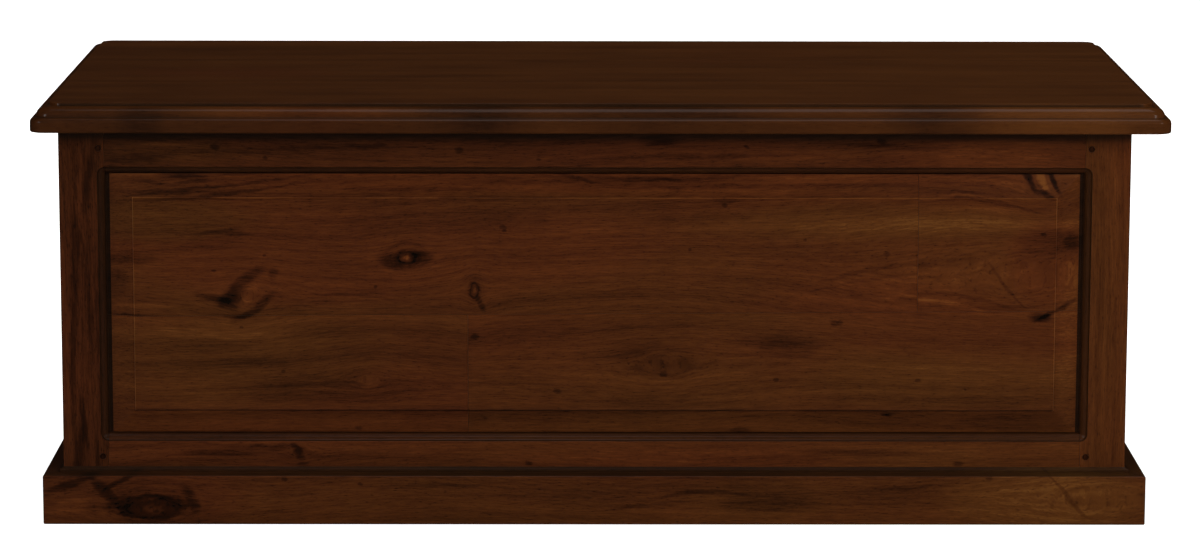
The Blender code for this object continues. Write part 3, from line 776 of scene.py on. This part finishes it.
def frame_finish(node, grain, seed):
    low, high = BOXES[node]
    board = Board(node.replace("_", " "), grain, seed, (low + high) / 2)
    draw(board, in_drawing_order(FRAME_MARKS.get(node, ())))
    tone = RAIL_TONES.get(node, POST_TONES.get(node, PLAIN_TONE))
    # painted light: the frame grows lighter towards the right, where the key lamp stands
    shade = board.figure(tone) + board.xyz[0] * 0.14
    # glaze with painted shade in the moulding, and a painted shadow of the lid's overhang under it
    glaze_and_shade = moulding_glaze_and_shade(board).most(under_lid_shadow(board) * 0.72)
    return polish(board, shade, glaze_and_shade=glaze_and_shade, gold=-0.05, lacquer=0.45 - glaze_and_shade * 0.40)


for seed, node in enumerate(sorted(BOXES), start=11):
    if SLOT_OF[node] != "frame_wood":
        continue
    if node.endswith("_post"):
        grain = "Z"
    else:
        grain = "X" if node.startswith(("front", "back")) else "Y"
    eased_copy(node, frame_finish(node, grain, seed))
print("frame finished")


# %% Finishes of the back and side panels
def plain_panel_marks(seed):
    """A few marks for a panel that is not on show, and a knot on every second one."""
    along = 130 * math.sin(seed * 2.1)
    across = 24 * math.sin(seed * 1.3)
    marks = [
        ("streak", -along, -across, 90, 5, 0.16, 0.04),
        ("streak", along * 0.4, across - 30, 60, 3, 0.14, -0.05),
        ("speck", along * 0.8, -across, 2.2),
    ]
    if seed % 2:
        marks.append(("knot", along, across, 8, 1.4, 0.30, 0.2))
    return in_drawing_order(marks)


def plain_panel_finish(node, seed):
    grain = "X" if node.startswith("back") else "Y"
    low, high = BOXES[node]
    board = Board(node.replace("_", " "), grain, seed, (low + high) / 2)
    draw(board, plain_panel_marks(seed))
    return polish(board, board.figure(0.58), glaze_and_shade=groove_glaze_and_shade(board))


for seed, node in enumerate(sorted(BOXES), start=61):
    if SLOT_OF[node] == "panel_wood" and not node.startswith("front"):
        eased_copy(node, plain_panel_finish(node, seed), ease=PANEL_EASE, smooth_below=MITRE_ANGLE)
        print("finished", node)

# %% [markdown]
# ## The plinth
# A broad board with mitred corners and a small step on top, darkened with glaze and painted
# shade. Its edge is rubbed pale in places and carries a painted highlight. Every height here is
# taken from the top of the plinth.

# %% Plinth finishes
PLINTH_TOP = BOXES["plinth_front"][1].z
PLINTH_STEP = 6 * MM
PLINTH_ARRIS = PLINTH_TOP - PLINTH_STEP
PLINTH_MARKS = (
    # a long knot and the dark flames beside it
    ("knot", -472, -11, 15, 2.3, 0.24, 0.0),
    ("streak", -468, -10, 26, 9, 0.12),
    ("streak", -430, -4, 12, 10, 0.22, -0.8),
    ("streak", -556, 12, 34, 5, 0.26, 0.30),
    ("streak", -522, 3, 18, 9, 0.28, -0.8),
    ("streak", -504, 12, 24, 4, 0.24, 0.5),
    ("streak", -500, -10, 12, 12, 0.10, -0.7),
    ("streak", -560, -10, 26, 8, -0.14, 0.2),
    ("streak", -380, -4, 60, 18, -0.06),
    # an arc and a dark patch
    ("streak", 118, 6, 60, 3, 0.20, 0.02, -2.4),
    ("streak", 186, -6, 60, 12, 0.18),
    ("streak", 60, -8, 60, 3, 0.12, 0.1),
    ("streak", -180, 12, 90, 3, 0.10, 0.02),
    ("streak", -60, 2, 120, 4, 0.08, -0.02),
    # the golden right end
    ("round", 530, 0, 16, 3.0),
    ("streak", 500, 4, 36, 2.4, 0.20, -0.8, 6.0),
    ("streak", 480, 0, 130, 30, -0.22),
    ("streak", 330, 10, 60, 3, 0.14, 0.05),
    ("gild", 490, 0, 130, 34, 1.0),
    ("gild", 180, 0, 90, 30, 0.4),
    ("gild", -440, 0, 80, 30, -0.4),
    ("speck", -330, 18, 2.4), ("speck", 420, 18, 2.6), ("speck", -250, 14, 1.8),
)


def plinth_finish(node, seed):
    grain = "X" if node in ("plinth_front", "plinth_back") else "Y"
    low, high = BOXES[node]
    board = Board(node.replace("_", " "), grain, seed, (low + high) / 2)
    if node == "plinth_front":
        draw(board, in_drawing_order(PLINTH_MARKS))
    height = board.xyz[2]
    # the ledge and step above the arris get glaze with painted shade; the arris is wear with a painted
    # highlight
    ledge = height.ease(PLINTH_ARRIS - 0.7 * MM, PLINTH_ARRIS - 0.1 * MM)
    step = height.ease(PLINTH_ARRIS + 0.2 * MM, PLINTH_ARRIS + 1.6 * MM)
    worn_and_lit = board.along.noise(board.along * 14.0, 3.0, 3.0).ease(-0.7, 0.5)
    arris = height.near(PLINTH_ARRIS, 1.2 * MM) * worn_and_lit * 0.18
    # painted light: the plinth grows lighter towards its right end, where the key lamp stands
    shade = board.figure(0.56) + arris + board.xyz[0] * 0.12
    return polish(board, shade, glaze_and_shade=ledge * 0.64 + step * 0.08, lacquer=0.5 - ledge * 0.36)


for seed, side in enumerate(("front", "right", "back", "left"), start=121):
    eased_copy(f"plinth_{side}", plinth_finish(f"plinth_{side}", seed), ease=0.6 * MM)
print("plinth finished, its arris at", PLINTH_ARRIS)

# %% [markdown]
# ## The lid
# Three long boards, darker than the front and nearly plain. Only the moulded edge shows
# contrast: a quirk made black with glaze and painted shade where the flat top ends, a worn line
# with a painted highlight beside it, and a dark line of glaze and painted shade on the ledge
# over the nose. How far a point lies in from the lid's edge tells it which it is on.

# %% Lid finishes
LID_MARKS = (
    ("streak", -484, -296, 30, 12, 0.11),
    ("streak", -380, -291, 70, 6, -0.14),
    ("streak", -130, -294, 70, 14, 0.12),
    ("streak", 60, -290, 130, 14, 0.12),
    ("streak", 350, -294, 60, 14, 0.12),
    ("streak", 480, -292, 110, 16, -0.14),
    ("streak", -250, -291, 70, 5, -0.12),
    ("gild", -300, -292, 150, 16, -0.7),
    ("gild", -430, -40, 160, 150, -0.7),
    ("gild", 200, 60, 220, 160, -0.6),
    ("gild", -100, 40, 200, 260, 0.4),
    ("gild", 480, 60, 140, 260, 0.6),
)
NOSE_HEIGHT = 16 * MM
QUIRK_INSET = 18.2 * MM
ARRIS_INSET = 19.8 * MM
TOP_INSET = 20 * MM


def lid_finish(node, seed):
    board = Board(node.replace("_", " "), "LID", seed, LID_CENTRE)
    x, y, z = board.xyz
    side = LID_HIGH.x - abs(x - LID_CENTRE.x)
    inset = side.least(LID_HIGH.y - abs(y))
    upper = z.ease(LID_HIGH.z - 6 * MM, LID_HIGH.z - 3.5 * MM)
    # quirk and ledge get glaze with painted shade; the arris line is wear with a painted highlight
    quirk = inset.near(QUIRK_INSET, 1.5 * MM) * upper
    ledge = z.near(LID_LOW.z + NOSE_HEIGHT, 1.2 * MM) * inset.ease(4 * MM, 5 * MM)
    worn_and_lit = board.along.noise(board.along * 12.0, y * 12.0, 7.0).ease(-0.6, 0.5)
    arris = inset.near(ARRIS_INSET, 1.1 * MM) * upper * worn_and_lit
    flat_top = z.ease(LID_HIGH.z - 1.2 * MM, LID_HIGH.z - 0.6 * MM)
    flat_top = inset.ease(TOP_INSET - 1 * MM, TOP_INSET) * flat_top
    draw(board, LID_MARKS)
    shade = board.figure(0.47, bands=0.16, lines=0.10, fibres=0.10, pores=0.14)
    # painted light: the lid grows lighter to the right, where the key lamp stands
    shade = shade + arris * 0.20 + flat_top * 0.11 + x * 0.09
    glaze_and_shade = (quirk * 0.75).most(ledge * 0.45)
    lacquer = flat_top * 0.14 + 0.28
    return polish(board, shade, glaze_and_shade=glaze_and_shade, gold=0.75, lacquer=lacquer, roughness=0.42)


for seed, node in enumerate(("lid_board_front", "lid_board_middle", "lid_board_back"), start=141):
    eased_copy(node, lid_finish(node, seed), ease=0.4 * MM)
for seed, side in enumerate(("left", "middle", "right"), start=151):
    low, high = BOXES[f"lid_batten_{side}"]
    board = Board(f"lid batten {side}", "Y", seed, (low + high) / 2)
    eased_copy(f"lid_batten_{side}", polish(board, board.figure(0.56), lacquer=0.2), ease=0)
print("lid finished")

# %% [markdown]
# ## Pegs
# Dowels cut flush with the posts. Their end grain drank the stain, so they are nearly black.
# Painted dots would look the same from the front, but the pegs are pieces of their own, so the
# same finish as the boards' is laid on them, only much darker.

# %% Peg finish
for seed, node in enumerate(sorted(name for name in BOXES if "_peg_" in name), start=161):
    low, high = BOXES[node]
    board = Board(node.replace("_", " "), "Z", seed, (low + high) / 2)
    eased_copy(node, polish(board, board.figure(0.22), lacquer=0.3), ease=0.25 * MM)
print("pegs finished")

# %% [markdown]
# ## Inside the chest
# The floor boards and the strips under them are planed and left bare, so they are pale,
# rough and without a coat. They need a ramp of their own, as bare wood is not a weak stain.

# %% Floor finish
BARE_WOOD = (
    (0.00, (0.075, 0.034, 0.014)),
    (0.40, (0.170, 0.088, 0.040)),
    (0.60, (0.230, 0.125, 0.060)),
    (1.00, (0.330, 0.195, 0.105)),
)


def bare_finish(node, seed):
    low, high = BOXES[node]
    sizes = high - low
    grain = "X" if sizes.x > sizes.y else "Y"
    board = Board(node.replace("_", " "), grain, seed, (low + high) / 2)
    tone = board.figure(0.5, bands=0.3, lines=0.3, fibres=0.2)
    colour = board.line.add("ShaderNodeValToRGB", {"stops": BARE_WOOD}, {0: tone})
    bump = board.line.add(
        "ShaderNodeBump", None, {"Height": board.fibre, "Strength": 0.3, "Distance": 0.5 * MM}
    )
    colour.feed(board.shader, "Base Color")
    (board.fibre * 0.1 + 0.62).feed(board.shader, "Roughness")
    bump.feed(board.shader, "Normal")
    return board.material


for seed, node in enumerate(sorted(BOXES), start=181):
    if SLOT_OF[node] == "floor_wood":
        eased_copy(node, bare_finish(node, seed))
print("floor finished")

# %% [markdown]
# ## Hinges and screws
# Two brass butt hinges, gone dull with age: bright metal in patches, brown film in the rest.
# Every screw is its own piece. A disc with a painted line would do from afar, but the hinges
# are seen close when the lid is up, so each is a countersunk head with a slot cut for real. It
# stands a hair proud of its leaf, because two faces at one height would flicker.

# %% Brass
BRIGHT_BRASS = (0.42, 0.27, 0.10, 1.0)
BROWN_FILM = (0.16, 0.095, 0.04, 1.0)


def brass_finish(name):
    metal, shader = new_finish(name)
    x, y, z = place_wires(metal.node_tree)
    tarnish = x.noise(x * 90.0, y * 90.0, z * 90.0, detail=5.0, roughness=0.6)
    brushed = x.noise(x * 12.0, y * 900.0, z * 900.0, detail=2.0)
    patina = tarnish.ease(-0.25, 0.45)
    bump = x.add(
        "ShaderNodeBump", None,
        {"Height": tarnish + brushed * 0.4, "Strength": 0.15, "Distance": 0.2 * MM},
    )
    patina.mix(BRIGHT_BRASS, BROWN_FILM).feed(shader, "Base Color")
    (patina * 0.25 + brushed * 0.06 + 0.30).feed(shader, "Roughness")
    bump.feed(shader, "Normal")
    shader.inputs["Metallic"].default_value = 0.45
    return metal


brass = brass_finish("aged brass")
for node in sorted(BOXES):
    if SLOT_OF[node] == "brass":
        eased_copy(node, brass, ease=0.25 * MM)
print("hinges finished")


# %% Screws
SCREW_SIDES = 28
SLOT_WIDTH, SLOT_DEPTH = 0.3, 0.35


def ring_of_points(shape, radius, height):
    turns = [math.tau * step / SCREW_SIDES for step in range(SCREW_SIDES)]
    return [
        shape.verts.new((radius * math.cos(turn), radius * math.sin(turn), height)) for turn in turns
    ]


def screw_head(radius):
    """A countersunk head, its face at z = 0 looking up and its cone below."""
    shape = bmesh.new()
    tip = ring_of_points(shape, radius * 0.45, radius * -0.9)
    shape.faces.new(tip[::-1])
    last = tip
    for size, height in ((radius, radius * -0.12), (radius * 0.94, 0.0)):
        ring = ring_of_points(shape, size, height)
        for step in range(SCREW_SIDES):
            after = (step + 1) % SCREW_SIDES
            shape.faces.new((last[step], last[after], ring[after], ring[step]))
        last = ring
    shape.faces.new(last)
    head = bpy.data.meshes.new("screw")
    shape.to_mesh(head)
    shape.free()
    return head


def slot_cutter(radius):
    """A bar that is longer than the head is wide, to cut its slot with."""
    shape = bmesh.new()
    bmesh.ops.create_cube(shape, size=1.0)
    bar = (radius * 3, radius * SLOT_WIDTH, radius * SLOT_DEPTH * 2)
    bmesh.ops.scale(shape, vec=bar, verts=shape.verts)
    mesh = bpy.data.meshes.new("slot")
    shape.to_mesh(mesh)
    shape.free()
    return add_piece("slot", mesh)


def make_screw_mesh(radius, metal):
    """A head with its slot cut, so that the slot casts a shadow."""
    blank = add_piece("blank", screw_head(radius))
    cutter = slot_cutter(radius)
    cut = blank.modifiers.new("slot", "BOOLEAN")
    cut.operation = "DIFFERENCE"
    cut.solver = "EXACT"
    cut.object = cutter
    bpy.context.view_layer.update()
    graph = bpy.context.evaluated_depsgraph_get()
    mesh = bpy.data.meshes.new_from_object(blank.evaluated_get(graph))
    bpy.data.objects.remove(cutter)
    bpy.data.objects.remove(blank)
    mesh.materials.clear()
    mesh.materials.append(metal)
    return mesh


def drive_screw(name, mesh, place, facing, turn, body):
    """Sets a screw at a place with its head facing a direction and its slot turned."""
    piece = add_piece(name, mesh)
    aim = Vector(facing).to_track_quat("Z", "Y").to_matrix().to_4x4()
    piece.matrix_world = Matrix.Translation(place) @ aim @ Matrix.Rotation(turn, 4, "Z")
    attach(piece, body)


# %% Screws of the hinges
PROUD = 0.15 * MM
# how far the screws' face of each leaf stands from the back of the chest or the leaf's top
LEAF_FACE = {"body": 2.4 * MM, "lid": 2.0 * MM}
HINGE_SCREW_PITCH = 24 * MM
hinge_screw = make_screw_mesh(3.0 * MM, brass)


def drive_hinge_screws(side, owner, body):
    """Three screws in one leaf, the middle one set off from the line of the other two."""
    low, high = BOXES[f"hinge_{side}_{owner}_leaf"]
    for index in range(3):
        x = (low.x + high.x) / 2 + (index - 1) * HINGE_SCREW_PITCH
        stagger = 5 * MM if index == 1 else -4 * MM
        turn = 0.7 + 1.3 * index
        if owner == "body":
            plate = CARCASS_HIGH.y + LEAF_FACE[owner]
            place = (x, plate + PROUD, low.z + 14 * MM - stagger)
            facing = (0, 1, 0)
        else:
            plate = high.z - LEAF_FACE[owner]
            place = (x, high.y - 9 * MM + stagger, plate - PROUD)
            facing = (0, 0, -1)
            turn = turn + 0.4
        name = f"hinge_{side}_{owner}_screw_{index + 1}"
        drive_screw(name, hinge_screw, place, facing, turn, body)


for side in ("left", "right"):
    drive_hinge_screws(side, "body", "carcass")
    drive_hinge_screws(side, "lid", "lid")
print("hinge screws driven")

# %% Screws of the battens
BATTEN_SCREWS = 4
batten_screw = make_screw_mesh(4.2 * MM, brass)


def drive_batten_screws(side):
    """Screws up through a batten, to the left and right of its middle by turns."""
    low, high = BOXES[f"lid_batten_{side}"]
    for index in range(BATTEN_SCREWS):
        x = (low.x + high.x) / 2 + (10 * MM if index % 2 else -10 * MM)
        y = low.y + (high.y - low.y) * (index + 0.5) / BATTEN_SCREWS
        name = f"batten_{side}_screw_{index + 1}"
        drive_screw(name, batten_screw, (x, y, low.z - PROUD), (0, 0, -1), 0.5 + index, "lid")


for side in ("left", "middle", "right"):
    drive_batten_screws(side)
print("batten screws driven")

# %% [markdown]
# ## Studio
# The chest stands on a pale floor in a pale room. Lacquer mirrors whatever stands round it, and
# a white room in it would hide the wood. A real studio hangs black cloth where a polished
# piece looks. Here mirror rays find a dark floor and a dark room instead, and of the large
# lamps only the one overhead shows in the lacquer. The floor glows a little for the camera, so
# that it reads as white as the room behind it.

# %% Floor and room
FLOOR_REACH = 30.0
FLOOR_DROP = 0.4 * MM
FLOOR_PAINT = (0.93, 0.93, 0.93, 1.0)
FLOOR_IN_LACQUER = (0.02, 0.018, 0.015, 1.0)
NO_GLOW = (0.0, 0.0, 0.0, 1.0)
FLOOR_GLOW = (0.80, 0.80, 0.80, 1.0)


def ray_wires(tree):
    """Wires that are 1 for the camera's own rays, and 1 for rays that a gloss has mirrored."""
    camera = Wire(tree, None).add("ShaderNodeLightPath")
    rays = camera.socket.node.outputs
    return Wire(tree, rays["Is Camera Ray"]), Wire(tree, rays["Is Glossy Ray"])


def make_floor():
    shape = bmesh.new()
    bmesh.ops.create_grid(shape, x_segments=1, y_segments=1, size=FLOOR_REACH)
    bmesh.ops.translate(shape, vec=(0, 0, -FLOOR_DROP), verts=shape.verts)
    mesh = bpy.data.meshes.new("studio_floor")
    shape.to_mesh(mesh)
    shape.free()
    paint, shader = new_finish("studio floor paint")
    seen, mirrored = ray_wires(paint.node_tree)
    mirrored.mix(FLOOR_PAINT, FLOOR_IN_LACQUER).feed(shader, "Base Color")
    seen.mix(NO_GLOW, FLOOR_GLOW).feed(shader, "Emission Color")
    shader.inputs["Emission Strength"].default_value = 1.0
    shader.inputs["Roughness"].default_value = 0.9
    shader.inputs["Specular IOR Level"].default_value = 0.0
    mesh.materials.append(paint)
    floor = add_piece("studio_floor", mesh)


def make_room(seen_light, lighting, mirrored_light):
    """A white room that looks, lights and is mirrored with three different strengths."""
    world = bpy.data.worlds.new("studio")
    bpy.context.scene.world = world
    world.use_nodes = True
    seen, mirrored = ray_wires(world.node_tree)
    strength = mirrored * (mirrored_light - lighting) + lighting
    strength = strength + seen * (seen_light - lighting)
    background = world.node_tree.nodes["Background"]
    strength.feed(background, "Strength")
    background.inputs["Color"].default_value = (1.0, 1.0, 1.0, 1.0)


make_floor()
make_room(seen_light=1.0, lighting=0.28, mirrored_light=0.006)
print("floor and room made")

# %% [markdown]
# ## Lights
# Large lamps make soft shadows: a key from the front right, a weaker fill from the front left, a
# weak one overhead and one behind for the back. Two small ones stand where the key and the fill
# are and show only in the lacquer, where they put a glint on the lid's rounded corners.

# %% Lights
FRONT_RIGHT = (2.3, -3.4, 2.3)
FRONT_LEFT = (-2.6, -3.4, 1.9)
OVERHEAD = (0.3, -0.4, 2.6)
BEHIND = (-0.6, 3.6, 2.7)


def soft_light(name, place, size, watts, mirrored=True, lighting=True):
    """An oblong lamp that looks at the middle of the chest."""
    lamp = bpy.data.lights.new(name, "AREA")
    lamp.shape = "RECTANGLE"
    lamp.size, lamp.size_y = size
    lamp.energy = watts
    piece = add_piece(name, lamp)
    piece.location = place
    piece.visible_glossy = mirrored
    piece.visible_diffuse = lighting
    piece.rotation_mode = "QUATERNION"
    piece.rotation_quaternion = (CARCASS_CENTRE - Vector(place)).to_track_quat("-Z", "Y")


soft_light("key", FRONT_RIGHT, (2.6, 1.8), 76, mirrored=False)
soft_light("fill", FRONT_LEFT, (2.0, 2.0), 36, mirrored=False)
soft_light("overhead", OVERHEAD, (2.2, 1.2), 15)
soft_light("rear", BEHIND, (3.0, 1.6), 66, mirrored=False)
soft_light("left glint", FRONT_LEFT, (0.5, 0.5), 50, lighting=False)
soft_light("right glint", FRONT_RIGHT, (0.5, 0.5), 50, lighting=False)
print("lamps aimed at", CARCASS_CENTRE)

# %% [markdown]
# ## Camera
# A long lens from far off keeps the chest's upright lines upright. It stands a little above the
# lid and looks slightly down, so that the lid's top and the front both show.

# %% Camera
LENS = 134.1
SENSOR_WIDTH = 36
EYE = (-0.029, -4.9434, 1.0662)
PITCH, YAW, ROLL = math.radians(9.713), math.radians(0.348), math.radians(0.121)


def make_camera():
    data = bpy.data.cameras.new("camera")
    data.lens = LENS
    data.sensor_width = SENSOR_WIDTH
    camera = add_piece("camera", data)
    turn = Matrix.Rotation(-YAW, 4, "Z") @ Matrix.Rotation(math.pi / 2 - PITCH, 4, "X")
    camera.matrix_world = Matrix.Translation(EYE) @ turn @ Matrix.Rotation(ROLL, 4, "Z")
    bpy.context.scene.camera = camera


make_camera()
bpy.context.scene.view_settings.view_transform = "Standard"
print("camera at", EYE)
